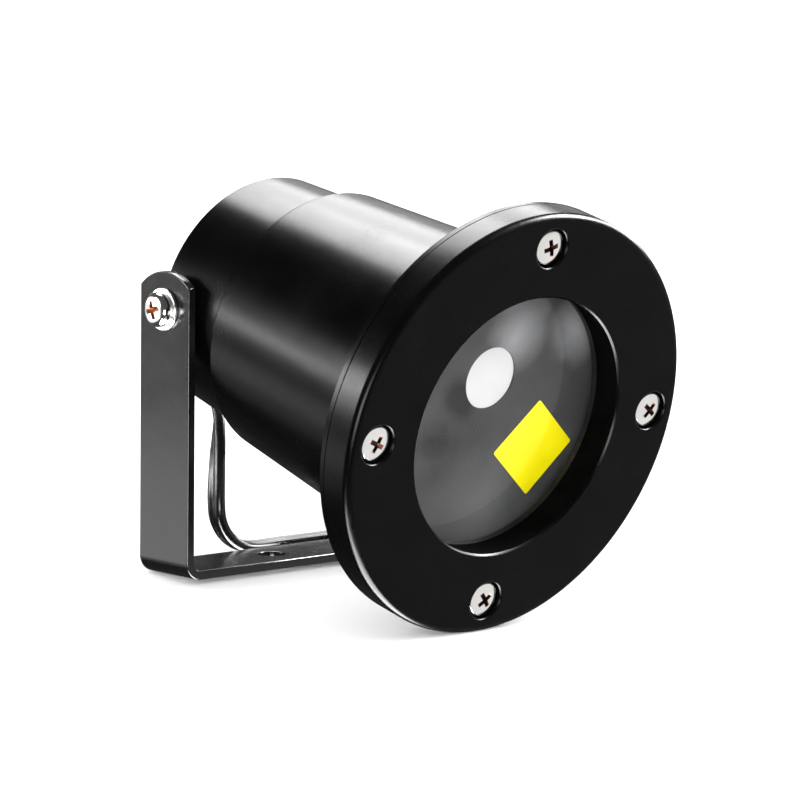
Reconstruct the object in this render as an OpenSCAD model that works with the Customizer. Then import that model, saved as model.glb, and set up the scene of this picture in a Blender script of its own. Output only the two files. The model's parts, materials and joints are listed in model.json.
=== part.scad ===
// Outdoor laser light projector: a round tiltable lamp head in a U-shaped bracket.
// Millimetres, +Z up from the floor, front towards -Y, left and right along X.
// It stands as it is set down: on the rear edge of the bracket's base and the lowest point of the front ring.

/* [Front ring] */
// Outside diameter of the front ring and of the housing's flange
flange_d = 95; // [91:0.5:105]
// Thickness of the front ring
bezel_t = 7.6; // [7:0.1:10]
// Rounding of the front ring's outer edge
edge_r = 1.7; // [0.5:0.1:3]
// Diameter of the round window in the front ring
window_d = 58; // [48:0.5:60]
// How much the window's wall widens on each side towards the glass
window_draft = 0.6; // [0:0.1:1]
// Chamfer on the window's front edge
window_chamfer = 0.4; // [0.1:0.1:1]
// Pitch circle of the screws that hold the front ring
screw_pcd = 80; // [79:0.5:82]
// Turn of that screw pattern about the head's axis, in degrees
screw_turn = 0.8; // [-10:0.1:10]
// Number of screws that hold the front ring
screw_count = 4; // [3:1:8]
// Width of the housing's raised ring that the screws bite into
ring_w = 8.8; // [7:0.1:9]
// Height of that raised ring in front of the flange
ring_h = 4; // [3:0.1:4.2]

/* [Screws] */
// Diameter of the front ring's screw heads
screw_head_d = 7.3; // [6:0.1:7.6]
// Height of those heads
screw_head_h = 1.9; // [1.5:0.1:2.1]
// Thread diameter of the front ring's screws
screw_d = 4; // [3:0.5:4.5]
// Length of those screws under the head
screw_l = 6; // [4:0.5:6]
// Diameter of the counterbores for those heads
counterbore_d = 8.6; // [8:0.1:9]
// Depth of those counterbores
counterbore_h = 2.2; // [2:0.1:2.4]

/* [Glass] */
// Diameter of the front glass
glass_d = 66; // [62:0.5:66.5]
// Thickness of the front glass
glass_t = 2; // [1.5:0.1:3]
// Thickness of the rubber gasket in front of the glass
gasket_t = 1.4; // [1:0.1:2]
// Thickness of the panel behind the glass
panel_t = 1; // [0.8:0.1:2]
// Diameter of the aperture in that panel
aperture_d = 14; // [10:0.5:15]
// Height of the aperture and of the laser over the head's axis
beam_up = 7.2; // [5:0.1:9]
// How far the lens sits back from the face of the panel
lens_back = 0.4; // [0.2:0.1:0.7]
// Thickness of the lens's flange behind the panel
lens_flange_t = 0.8; // [0.5:0.1:1.2]

/* [Housing] */
// From the front face to the pivot axis
front_reach = 83; // [78:0.5:95]
// Thickness of the housing's flange
lip_t = 1.2; // [1:0.1:2]
// Wall of the housing round the glass, where the tube starts
pocket_wall = 1.9; // [1.5:0.1:2.4]
// How far the housing's rear end stands out round the rear cap
seam_step = 2; // [1.6:0.1:3]
// Distance from the pivot axis forward to the joint between housing and rear cap
seam_reach = 15.5; // [12:0.5:16]
// How far the rear cap stands out round the housing's bore
shoulder = 0.4; // [0.2:0.05:0.8]
// Rounding at the housing's rear end and where the tube meets the flange
tube_round = 1; // [0.5:0.1:1.5]

/* [Rear cap] */
// Gap between each arm and the rear cap at its widest
side_gap = 0.85; // [0.6:0.05:1.2]
// Draft of the rear cap, in degrees
cap_draft = 3.7; // [1:0.1:4]
// From the pivot axis back to the rear face
rear_reach = 6.5; // [6:0.1:20]
// Rounding of the cap's rear edge
cap_round = 0.8; // [0.4:0.1:2]
// Wall of the rear cap
cap_wall = 2.6; // [2:0.1:3]
// Length of the cap's spigot in the housing
spigot_l = 6; // [5:0.5:8]
// Thickness of the seal ring between cap and housing
seal_d = 1.6; // [1.2:0.1:2]

/* [Bracket] */
// Width of the bracket over its arms
bracket_w = 63.5; // [57:0.5:70]
// Width of the bracket's strip
strip_w = 17; // [14:0.5:20]
// Thickness of the bracket's strip
strip_t = 2; // [1.5:0.1:2.5]
// Outside radius of the bracket's two bends
bend_r = 4; // [3:0.1:6]
// From the pivot axis down to the underside of the base
pivot_h = 60; // [56:0.5:63]
// From the pivot axis up to the top of the arms
arm_top = 8.4; // [7:0.1:12]
// Radius of the arms' rounded tops
arm_top_r = 12.5; // [10:0.5:20]
// Diameter of the fixing hole in the base
base_hole_d = 6.4; // [4:0.1:8]

/* [Pivot] */
// Thread diameter of the two pivot screws
pivot_d = 4; // [3:0.5:5]
// Length of the pivot screws under the head
pivot_l = 12; // [10:0.5:12.5]
// Diameter of the pivot screws' pan heads
pivot_head_d = 7.8; // [7:0.1:9]
// Height of those heads
pivot_head_h = 2.8; // [2:0.1:3]
// Diameter of the plain washers under them
washer_d = 9.5; // [9:0.1:12]
// Thickness of those washers
washer_t = 0.8; // [0.5:0.1:1.2]
// Diameter of the spacers between arms and cap
spacer_d = 10; // [8:0.5:11]
// Length of the spacers between arms and cap
spacer_l = 2.65; // [2.3:0.05:3]
// Radial clearance of the pivot screws in the arms
pivot_fit = 0.05; // [0.02:0.01:0.09]
// Angle of the head to the bracket, nose down, in degrees
tilt = 14.3; // [10:0.1:20]

/* [Inside] */
// Diameter of the laser's barrel
barrel_d = 12; // [10:0.5:13]
// Length of the laser's barrel
barrel_l = 32; // [28:0.5:34]
// Thickness of the heat sink that holds the barrel
sink_t = 8; // [6:0.5:10]
// Distance from the front face to the heat sink
sink_depth = 22; // [20:0.5:24]
// Diameter of the three bosses that carry the heat sink
boss_d = 9; // [8:0.5:10]
// Gap between the driver board's corners and the bore
board_clear = 3; // [2:0.1:5]
// Angle of the driver board's diagonal, in degrees
board_diagonal = 48.2; // [44:0.1:50]
// Thickness of the driver board
board_t = 1.6; // [1:0.1:2]
// Length of the standoffs that carry the board
standoff_l = 22; // [20:0.5:24]
// Diameter of the standoffs
standoff_d = 5; // [4:0.5:6]

/* [Lead] */
// Width of the flat twin lead
cord_w = 5; // [4.6:0.1:5]
// Thickness of the flat twin lead
cord_t = 2.6; // [2.4:0.1:2.6]
// Radius of the coil's outermost turn, at the middle of the lead
coil_r = 30.5; // [30:0.5:31]
// Turns in each layer of the coil
layer_turns = 2; // [2:1:2]
// Layers in the coil
layers = 4; // [4:2:4]
// Gap between turns, side by side
turn_gap = 0.5; // [0.5:0.05:0.6]
// Gap between layers
layer_gap = 0.5; // [0.5:0.05:0.6]
// Diameter of the plug's grip
plug_d = 10; // [9:0.5:11]
// Length of the plug's grip
plug_l = 18; // [14:0.5:20]
// Diameter of the plug's metal sleeve
sleeve_d = 5.5; // [5.5:0.1:5.5]
// Length of the plug's metal sleeve
sleeve_l = 9.5; // [9:0.1:12]

/* [Hidden] */
$fn = 96;

// clearances: between pieces that are assembled and stay, and between faces that turn past each other
fit = 0.1;
turn_clear = 0.1;
// overlap of a cut with the open air, so that it leaves no skin
cut = 1;

flange_r = flange_d / 2;
window_r = window_d / 2;
glass_r = glass_d / 2;
arm_in = bracket_w / 2 - strip_t;
cap_r = arm_in - side_gap;
tube_r = cap_r + seam_step;
bore_r = cap_r - shoulder;
spot_x = arm_in - turn_clear - spacer_l;

// distances along the head's axis, from the front face
web_depth = bezel_t - ring_h;
glass_depth = bezel_t + gasket_t;
panel_depth = glass_depth + glass_t + fit / 2;
lens_depth = panel_depth + lens_back;
ledge_depth = panel_depth + panel_t + fit / 2;
flange_depth = bezel_t + lip_t;
seam_depth = front_reach - seam_reach;
rear_depth = front_reach + rear_reach;
pocket_r = glass_r + 2 * fit;
tube_front_r = pocket_r + pocket_wall;
cap_rear_r = cap_r - (rear_depth - seam_depth) * tan(cap_draft);
spigot_depth = seam_depth - spigot_l;
cap_inner_r = bore_r - seal_d - 2 * fit - 1;

// inside: distances from the front face, and places beside the axis
lens_rear = panel_depth + panel_t + lens_flange_t;
barrel_depth = lens_rear + 0.5;
barrel_rear = barrel_depth + barrel_l;
sink_rear = sink_depth + sink_t;
board_depth = sink_rear + standoff_l;
board_rear = board_depth + board_t;
boss_l = 15;
boss_bite = 0.5;
boss_pitch = bore_r + boss_bite - boss_d / 2;
boss_angles = [30, 150, 270];
board_w = 2 * (bore_r - board_clear) * cos(board_diagonal);
board_h = 2 * (bore_r - board_clear) * sin(board_diagonal);
hole_inset = 4;
board_holes = [
    for (x = [-1, 1], y = [-1, 1])
        [x * (board_w / 2 - hole_inset), y * (board_h / 2 - hole_inset)]
];
sink_screw_d = 3;
sink_screw_l = 14;
board_screw_d = 3;
board_screw_l = 6;
m3_head_d = 5.5;
m3_head_h = 2;

// the grommet round the lead
grommet_d = 10;
grommet_neck_d = 8;
grommet_out = 4;
grommet_lip = 1.5;
lead_clear = 0.1;

// how the object stands: the front ring's rounded lower edge and the rear edge of the base touch the floor
edge_y = -(front_reach - edge_r) * cos(tilt) + (flange_r - edge_r) * sin(tilt);
edge_z = -(front_reach - edge_r) * sin(tilt) - (flange_r - edge_r) * cos(tilt);
heel_y = strip_w / 2;
to_edge = [edge_y - heel_y, edge_z + pivot_h];
lean = atan2(-to_edge[1], -to_edge[0]) + asin(edge_r / norm(to_edge));
pivot_z = heel_y * sin(lean) + pivot_h * cos(lean);
nose = tilt - lean;
front_y = -(front_reach - edge_r) * cos(nose) - (flange_r - edge_r) * sin(nose) - edge_r;
back_y = (rear_reach + grommet_out) * cos(nose) + grommet_d / 2 * sin(nose);
pivot_y = -(front_y + back_y) / 2;

// the bracket's own frame: the pivot axis is its origin and its arms run along Z
module in_bracket()
    translate([0, pivot_y, pivot_z])
        rotate([-lean, 0, 0])
            children();

// the head's own frame: the pivot axis is its origin and its front faces -Y
module in_head()
    translate([0, pivot_y, pivot_z])
        rotate([nose, 0, 0])
            children();

// pieces turned about the head's axis: Z is the distance back from the front face
module on_axis()
    in_head()
        translate([0, -front_reach, 0])
            rotate([-90, 0, 0])
                children();

// a place beside the axis, at a distance from the front face; up is the head's own up
module at(x, up, depth)
    translate([x, -up, depth])
        children();

// a tube from one distance to another
module ring(r_out, r_in, from, to)
    difference() {
        translate([0, 0, from])
            cylinder(r = r_out, h = to - from);
        translate([0, 0, from - cut])
            cylinder(r = r_in, h = to - from + 2 * cut);
    }

// cross recess of a screw head, cut down from z = 0
module cross_recess(size, depth) {
    for (a = [45, 135])
        rotate([0, 0, a])
            translate([-size / 2, -size / 10, -depth])
                cube([size, size / 5, depth + cut]);
    translate([0, 0, -depth])
        cylinder(r1 = size * 0.16, r2 = size * 0.24, h = depth + 0.01);
}

// outline of a pan head that stands on y = 0
module pan_outline(r, h)
    intersection() {
        square([r, h]);
        translate([0, h - r * 1.5])
            circle(r = r * 1.5);
    }

// a pan head screw: the head stands up from z = 0 and the shank runs down
module pan_screw(head_d, head_h, d, l) {
    difference() {
        rotate_extrude()
            pan_outline(head_d / 2, head_h);
        translate([0, 0, head_h])
            cross_recess(head_d * 0.55, head_h * 0.6);
    }
    translate([0, 0, -l])
        cylinder(d = d, h = l + 0.01);
}

// the places of the front ring's screws; turned so that their heads face forward
module at_bezel_screws(depth)
    for (i = [0 : screw_count - 1])
        rotate([0, 0, -screw_turn - 90 + i * 360 / screw_count])
            translate([screw_pcd / 2, 0, depth])
                children();

module front_bezel()
    color([0.09, 0.09, 0.1])
        on_axis()
            difference() {
                rotate_extrude()
                    difference() {
                        union() {
                            translate([0, edge_r])
                                square([flange_r, bezel_t - edge_r]);
                            square([flange_r - edge_r, bezel_t]);
                            translate([flange_r - edge_r, edge_r])
                                circle(r = edge_r);
                        }
                        polygon([
                            [-cut, -cut],
                            [window_r + window_chamfer + cut, -cut],
                            [window_r, window_chamfer],
                            [window_r + window_draft, bezel_t + cut],
                            [-cut, bezel_t + cut]
                        ]);
                        translate([screw_pcd / 2 - ring_w / 2 - fit, web_depth - fit / 2])
                            square([ring_w + 2 * fit, ring_h + cut]);
                    }
                at_bezel_screws(-cut)
                    cylinder(d = counterbore_d, h = counterbore_h + cut);
                at_bezel_screws(-cut)
                    cylinder(d = screw_d + 4 * fit, h = bezel_t + 2 * cut);
            }

module bezel_screws()
    color([0.85, 0.83, 0.8])
        on_axis()
            at_bezel_screws(counterbore_h)
                rotate([180, 0, 0])
                    pan_screw(screw_head_d, screw_head_h, screw_d, screw_l);

module glass_gasket()
    color([0.05, 0.05, 0.05])
        on_axis()
            ring(glass_r, window_r + window_draft, bezel_t, glass_depth);

module front_glass()
    color([0.6, 0.65, 0.68, 0.5])
        on_axis()
            translate([0, 0, glass_depth])
                cylinder(r = glass_r, h = glass_t);

module front_panel()
    color([0.3, 0.3, 0.31])
        on_axis()
            difference() {
                translate([0, 0, panel_depth])
                    cylinder(r = glass_r, h = panel_t);
                at(0, beam_up, panel_depth - cut)
                    cylinder(d = aperture_d, h = panel_t + 2 * cut);
            }

module aperture_lens()
    color([0.95, 0.95, 0.95])
        on_axis() {
            at(0, beam_up, lens_depth)
                cylinder(d = aperture_d - fit, h = panel_t - lens_back + 0.01);
            at(0, beam_up, panel_depth + panel_t)
                cylinder(d = aperture_d + 3, h = lens_flange_t);
        }

// outline of the housing's outside, from the axis out
module housing_outline() {
    // flange
    translate([0, bezel_t])
        square([flange_r, lip_t]);
    // raised ring that the front ring's screws bite into
    translate([screw_pcd / 2 - ring_w / 2, web_depth])
        square([ring_w, ring_h + 0.01]);
    // tube with a rounded rear end
    difference() {
        polygon([
            [0, bezel_t],
            [tube_front_r, bezel_t],
            [tube_front_r, flange_depth],
            [tube_r, seam_depth],
            [0, seam_depth]
        ]);
        translate([tube_r - tube_round, seam_depth - tube_round])
            difference() {
                square([2 * tube_round, 2 * tube_round]);
                circle(r = tube_round);
            }
    }
    // fillet between flange and tube
    difference() {
        translate([tube_front_r - cut, flange_depth - 0.01])
            square([cut + tube_round, tube_round]);
        translate([tube_front_r + tube_round, flange_depth + tube_round])
            circle(r = tube_round);
    }
}

module main_housing()
    color([0.12, 0.12, 0.13])
        on_axis()
            difference() {
                union() {
                    rotate_extrude()
                        difference() {
                            housing_outline();
                            translate([-cut, bezel_t - cut])
                                square([pocket_r + cut, ledge_depth - bezel_t + cut]);
                            translate([-cut, bezel_t])
                                square([bore_r + cut, seam_depth]);
                        }
                    for (a = boss_angles)
                        intersection() {
                            at(boss_pitch * cos(a), boss_pitch * sin(a), sink_rear)
                                cylinder(d = boss_d, h = boss_l);
                            cylinder(r = bore_r + boss_bite, h = seam_depth);
                        }
                }
                at_bezel_screws(0)
                    cylinder(d = screw_d + fit, h = flange_depth + cut);
                for (a = boss_angles)
                    at(boss_pitch * cos(a), boss_pitch * sin(a), sink_rear - cut)
                        cylinder(d = sink_screw_d + fit, h = sink_screw_l - sink_t + 2 * cut);
            }

module cap_seal()
    color([0.06, 0.06, 0.06])
        on_axis()
            translate([0, 0, spigot_depth + spigot_l / 2])
                rotate_extrude()
                    translate([bore_r - fit - seal_d / 2, 0])
                        circle(d = seal_d);

// outline of the cap's closed shell, from the axis out
module cap_outline()
    difference() {
        union() {
            polygon([
                [0, seam_depth],
                [cap_r, seam_depth],
                [cap_rear_r, rear_depth],
                [0, rear_depth]
            ]);
            translate([0, spigot_depth])
                square([bore_r - fit, spigot_l + 0.01]);
        }
        translate([cap_rear_r - cap_round, rear_depth - cap_round])
            difference() {
                square([2 * cap_round, 2 * cap_round]);
                circle(r = cap_round);
            }
        translate([bore_r - fit - seal_d - fit, spigot_depth + spigot_l / 2 - seal_d / 2 - fit])
            square([seal_d + cut, seal_d + 2 * fit]);
        polygon([
            [-cut, spigot_depth - cut],
            [cap_inner_r, spigot_depth - cut],
            [cap_inner_r, seam_depth],
            [cap_rear_r - cap_wall, rear_depth - cap_wall],
            [-cut, rear_depth - cap_wall]
        ]);
    }

// both sides of the pivot, with X pointing outwards
module both_sides()
    for (s = [0, 180])
        rotate([0, s, 0])
            rotate([0, 90, 0])
                children();

pivot_tip = bracket_w / 2 + turn_clear / 2 + washer_t - pivot_l;
boss_in = pivot_tip - 2.5;

module rear_cap()
    color([0.12, 0.12, 0.13])
        difference() {
            union() {
                on_axis()
                    rotate_extrude()
                        cap_outline();
                in_head()
                    intersection() {
                        both_sides()
                            translate([0, 0, boss_in])
                                cylinder(d = spacer_d, h = cap_r - boss_in);
                        rotate([-90, 0, 0])
                            translate([0, 0, -seam_reach])
                                cylinder(r = cap_rear_r - 1, h = seam_reach + rear_reach - 1);
                    }
            }
            in_head()
                both_sides() {
                    translate([0, 0, spot_x])
                        cylinder(d = spacer_d + 6 * fit, h = cap_r - spot_x + cut);
                    translate([0, 0, pivot_tip - 0.5])
                        cylinder(d = pivot_d + fit, h = cap_r);
                }
            on_axis()
                translate([0, 0, rear_depth - cap_wall - cut])
                    cylinder(d = grommet_neck_d + fit, h = cap_wall + 2 * cut);
        }

// slot for the flat twin lead, along Z
module lead_slot(from, to)
    translate([0, 0, from])
        linear_extrude(to - from)
            union() {
                for (s = [-1, 1])
                    translate([s * (cord_w - cord_t) / 2, 0])
                        circle(d = cord_t + 2 * lead_clear);
                square([cord_w - cord_t, cord_t + 2 * lead_clear], center = true);
            }

module cable_grommet()
    color([0.06, 0.06, 0.06])
        on_axis()
            difference() {
                union() {
                    translate([0, 0, rear_depth])
                        rotate_extrude()
                            intersection() {
                                square([grommet_d / 2, grommet_out]);
                                translate([0, grommet_out - grommet_d])
                                    circle(r = grommet_d);
                            }
                    translate([0, 0, rear_depth - cap_wall - 0.01])
                        cylinder(d = grommet_neck_d, h = cap_wall + 0.02);
                    translate([0, 0, rear_depth - cap_wall - grommet_lip])
                        cylinder(d = grommet_d, h = grommet_lip);
                }
                lead_slot(rear_depth - cap_wall - grommet_lip - cut, rear_depth + grommet_out + cut);
            }

// side view of the bent strip, X across and Y up from the pivot axis
module strip_outline()
    difference() {
        bent(bracket_w / 2, -pivot_h, bend_r);
        bent(arm_in, strip_t - pivot_h, bend_r - strip_t);
    }

// a straight-sided shape with two round lower corners, open upwards
module bent(half, low, r) {
    translate([-half, low + r])
        square([2 * half, arm_top + cut - low - r]);
    translate([-half + r, low])
        square([2 * (half - r), r + cut]);
    for (s = [-1, 1])
        translate([s * (half - r), low + r])
            circle(r = r);
}

module u_bracket()
    color([0.16, 0.16, 0.17])
        in_bracket()
            difference() {
                intersection() {
                    rotate([90, 0, 0])
                        linear_extrude(strip_w, center = true)
                            strip_outline();
                    union() {
                        translate([-bracket_w, -strip_w, -pivot_h - cut])
                            cube([2 * bracket_w, 2 * strip_w, pivot_h + cut]);
                        translate([0, 0, arm_top - arm_top_r])
                            rotate([0, 90, 0])
                                cylinder(r = arm_top_r, h = 2 * bracket_w, center = true);
                    }
                }
                rotate([0, 90, 0])
                    cylinder(d = pivot_d + 2 * pivot_fit, h = 2 * bracket_w, center = true);
                translate([0, 0, -pivot_h - cut])
                    cylinder(d = base_hole_d, h = strip_t + 2 * cut);
            }

module pivot_screws()
    color([0.8, 0.76, 0.7])
        in_head()
            both_sides()
                translate([0, 0, bracket_w / 2 + turn_clear / 2 + washer_t])
                    pan_screw(pivot_head_d, pivot_head_h, pivot_d, pivot_l);

module pivot_washers()
    color([0.88, 0.87, 0.85])
        in_head()
            both_sides()
                ring(washer_d / 2, pivot_d / 2 + fit,
                    bracket_w / 2 + turn_clear / 2, bracket_w / 2 + turn_clear / 2 + washer_t);

module pivot_spacers()
    color([0.08, 0.08, 0.08])
        in_head()
            both_sides()
                ring(spacer_d / 2, pivot_d / 2 + fit, spot_x, arm_in - turn_clear);

// the barrel's bores: a wide one for the lens, a narrow one for the beam, a wide one for the diode
lens_bore_d = 8;
lens_bore_l = 6;
beam_bore_d = 3.6;
diode_bore_d = 9;
diode_bore_l = 8;
lens_t = 3;

module laser_barrel()
    color([0.72, 0.6, 0.35])
        on_axis()
            at(0, beam_up, 0)
                difference() {
                    translate([0, 0, barrel_depth])
                        cylinder(d = barrel_d, h = barrel_l);
                    translate([0, 0, barrel_depth - cut])
                        cylinder(d = lens_bore_d, h = lens_bore_l + cut);
                    translate([0, 0, barrel_depth])
                        cylinder(d = beam_bore_d, h = barrel_l);
                    translate([0, 0, barrel_rear - diode_bore_l])
                        cylinder(d = diode_bore_d, h = diode_bore_l + cut);
                }

module collimator_lens()
    color([0.7, 0.8, 0.9, 0.6])
        on_axis()
            at(0, beam_up, barrel_depth + lens_bore_l)
                rotate([180, 0, 0])
                    rotate_extrude()
                        intersection() {
                            square([lens_bore_d / 2 - fit, lens_t]);
                            translate([0, lens_t - lens_bore_d])
                                circle(d = 2 * lens_bore_d);
                        }

// the laser diode: a round base, a cap in front and three pins behind
module laser_diode()
    color([0.75, 0.7, 0.55])
        on_axis()
            at(0, beam_up, barrel_rear - diode_bore_l) {
                cylinder(d = diode_bore_d - 2 * fit, h = 1.5);
                translate([0, 0, -2])
                    cylinder(d = beam_bore_d - 2 * fit, h = 2.01);
                for (x = [-1, 0, 1])
                    translate([x * 1.4, 0, 1.49])
                        cylinder(d = 0.5, h = diode_bore_l - 2, $fn = 24);
            }

// slots that leave cooling fins on the heat sink's front, round the barrel's collar and the screws
fin_pitch = 4;
fin_gap = 2;
fin_h = 5;
fins_each_side = floor(bore_r / fin_pitch) - 1;
collar_d = barrel_d + 5;

module fin_slots()
    difference() {
        for (i = [-fins_each_side : fins_each_side])
            translate([i * fin_pitch - fin_gap / 2, -bore_r])
                square([fin_gap, 2 * bore_r]);
        translate([0, -beam_up])
            circle(d = collar_d);
        for (a = boss_angles)
            translate([boss_pitch * cos(a), -boss_pitch * sin(a)])
                circle(d = boss_d);
    }

module heat_sink()
    color([0.7, 0.71, 0.72])
        on_axis()
            difference() {
                translate([0, 0, sink_depth])
                    cylinder(r = bore_r - 3 * fit, h = sink_t);
                translate([0, 0, sink_depth - cut])
                    linear_extrude(fin_h + cut)
                        fin_slots();
                at(0, beam_up, sink_depth - cut)
                    cylinder(d = barrel_d + fit, h = sink_t + 2 * cut);
                for (a = boss_angles)
                    at(boss_pitch * cos(a), boss_pitch * sin(a), sink_depth - cut)
                        cylinder(d = sink_screw_d + 4 * fit, h = sink_t + 2 * cut);
            }

module heat_sink_screws()
    color([0.6, 0.6, 0.6])
        on_axis()
            for (a = boss_angles)
                at(boss_pitch * cos(a), boss_pitch * sin(a), sink_depth)
                    rotate([180, 0, 0])
                        pan_screw(m3_head_d, m3_head_h, sink_screw_d, sink_screw_l);

module board_standoffs()
    color([0.78, 0.7, 0.4])
        on_axis()
            for (p = board_holes)
                at(p[0], p[1], sink_rear)
                    difference() {
                        cylinder(d = standoff_d, h = standoff_l, $fn = 6);
                        translate([0, 0, standoff_l - board_screw_l])
                            cylinder(d = board_screw_d + fit, h = board_screw_l + cut);
                    }

module driver_board()
    color([0.1, 0.35, 0.2])
        on_axis()
            difference() {
                translate([-board_w / 2, -board_h / 2, board_depth])
                    cube([board_w, board_h, board_t]);
                for (p = board_holes)
                    at(p[0], p[1], board_depth - cut)
                        cylinder(d = board_screw_d + 4 * fit, h = board_t + 2 * cut);
            }

// on the board's rear: the supply's terminal in the middle, capacitor, choke and controller round it
terminal_w = 7;
terminal_d = 5;
terminal_h = 5;
capacitor_d = 8;
capacitor_h = 11;
capacitor_gap = 1.5;
choke_r = 4.5;
choke_h = 5;
choke_neck_r = 3.3;
choke_groove_r = 2;
choke_gap = 0.5;
choke_up = 5;
controller = [8, 5, 1.6];
controller_down = 12;

module board_components()
    color([0.15, 0.15, 0.3])
        on_axis() {
            at(terminal_w / 2 + capacitor_gap + capacitor_d / 2, capacitor_gap * 2, board_rear)
                cylinder(d = capacitor_d, h = capacitor_h);
            at(-terminal_w / 2 - choke_gap - choke_r, choke_up, board_rear)
                rotate_extrude()
                    difference() {
                        square([choke_r, choke_h]);
                        translate([choke_neck_r + choke_groove_r, choke_h / 2])
                            circle(r = choke_groove_r);
                    }
            at(0, -controller_down, board_rear)
                translate([-controller[0] / 2, -controller[1] / 2, 0])
                    cube(controller);
            translate([-terminal_w / 2, -terminal_d / 2, board_rear])
                cube([terminal_w, terminal_d, terminal_h]);
        }

module board_screws()
    color([0.6, 0.6, 0.6])
        on_axis()
            for (p = board_holes)
                at(p[0], p[1], board_rear)
                    pan_screw(m3_head_d, m3_head_h, board_screw_d, board_screw_l);

module laser_leads()
    color([0.6, 0.1, 0.1])
        on_axis()
            for (s = [-1, 1])
                at(s * 1.4, beam_up, barrel_rear - 0.4)
                    cylinder(d = 1.1, h = board_depth - barrel_rear + 0.4);

// the lead's start, inside the grommet
lead_in = 3;
module supply_leads()
    color([0.5, 0.1, 0.1])
        on_axis()
            for (s = [-1, 1])
                translate([s * (cord_w - cord_t) / 2, 0, board_rear + terminal_h])
                    cylinder(d = 1.6, h = rear_depth + grommet_out - lead_in - board_rear - terminal_h);

// the lead's route from the grommet down to the coil: x, y, z and the turn of its width about Z.
// It leaves the grommet, hangs behind the cap, meets the floor behind the base and runs past the far arm.
lead_route = [
    [0, 46.56, 61.75, 0],
    [0, 49.52, 62.25, 0],
    [0, 52.48, 62.76, 0],
    [0, 55.96, 62.73, 3],
    [0, 59.22, 61.52, 6],
    [0, 61.86, 59.27, 10],
    [0, 63.58, 56.24, 14],
    [0, 64.16, 52.82, 19],
    [0, 63.4, 49.2, 24],
    [0, 61.2, 43.6, 32],
    [0.06, 57.6, 34.93, 41],
    [-1.21, 54.6, 30.88, 50],
    [-3.09, 52, 26.81, 62],
    [-4.84, 49.9, 22.67, 74],
    [-6.16, 48.2, 18.43, 82],
    [-7.08, 46.7, 12.95, 88],
    [-6.19, 46.65, 8.51, 88],
    [-3.68, 46.49, 4.75, 88],
    [0.08, 46.27, 2.23, 88],
    [4.52, 46, 1.35, 88],
    [11.13, 46, 1.35, 90],
    [17.73, 46, 1.35, 90],
    [24.33, 46, 1.35, 90],
    [30.93, 46, 1.35, 90],
    [34.03, 45.59, 1.35, 75],
    [36.93, 44.39, 1.35, 60],
    [39.41, 42.49, 1.35, 45],
    [45, 36.9, 1.35, 45],
    [50.9, 31, 1.35, 45]
];
coil_at = [76, 49];
coil_from = 225;
rest_z = 1.35;
// the coil ends where the lead leaves it towards the front
coil_turns = layers * layer_turns - 0.125;
coil_rings = 24;
turn_step = cord_w + turn_gap;
layer_step = cord_t + layer_gap;
straight = cord_w;
plug_z = plug_d / 2;
plug_at = [43, 23.5];
relief_l = 7;
relief_r = 2.9;
groove_pitch = 2;
sleeve_bore_d = 2.1;

// sections across the lead, width first: a figure of eight, and a plainer one for the coil
lobe = (cord_w - cord_t) / 2;
lead_section = [
    for (s = [1, -1], a = [-90 : 36 : 90]) [s * lobe + cord_t / 2 * cos(a + (s < 0 ? 180 : 0)),
        cord_t / 2 * sin(a + (s < 0 ? 180 : 0))]
];
coil_section = [
    for (s = [1, -1]) each [
        [s * lobe, -s * cord_t / 2],
        [s * cord_w / 2, 0],
        [s * lobe, s * cord_t / 2]
    ]
];

function unit(v) = v / norm(v);
function xyz(p) = [p[0], p[1], p[2]];
function near_end(list, i) = list[max(0, min(len(list) - 1, i))];

// a smooth curve through the points, with n steps from each to the next
function between(a, b, c, d, t) =
    0.5 * (2 * b + (c - a) * t + (2 * a - 5 * b + 4 * c - d) * t * t + (3 * b - a - 3 * c + d) * t * t * t);
function smooth(list, n) = concat(
    [for (i = [0 : len(list) - 2], k = [0 : n - 1])
        between(near_end(list, i - 1), list[i], list[i + 1], near_end(list, i + 2), k / n)],
    [list[len(list) - 1]]
);

// the section placed on the route's point i, square to the route
function placed(route, i, section) =
    let (
        t = unit(xyz(near_end(route, i + 1)) - xyz(near_end(route, i - 1))),
        flat = [cos(route[i][3]), sin(route[i][3]), 0],
        w = unit(flat - (flat * t) * t),
        n = cross(t, w)
    )
    [for (q = section) xyz(route[i]) + q[0] * w + q[1] * n];

// one tube swept along a route of [x, y, z, turn of the width about Z]
module swept(route, section) {
    m = len(section);
    last = len(route) - 1;
    points = [for (i = [0 : last]) each placed(route, i, section)];
    sides = [
        for (i = [0 : last - 1], j = [0 : m - 1])
            let (a = i * m + j, b = i * m + (j + 1) % m)
            each [[a, b, b + m], [a, b + m, a + m]]
    ];
    first_cap = [for (j = [1 : m - 2]) [0, j + 1, j]];
    last_cap = [for (j = [1 : m - 2]) [last * m, last * m + j, last * m + j + 1]];
    polyhedron(points = points, faces = concat(sides, first_cap, last_cap), convexity = 10);
}

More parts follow.
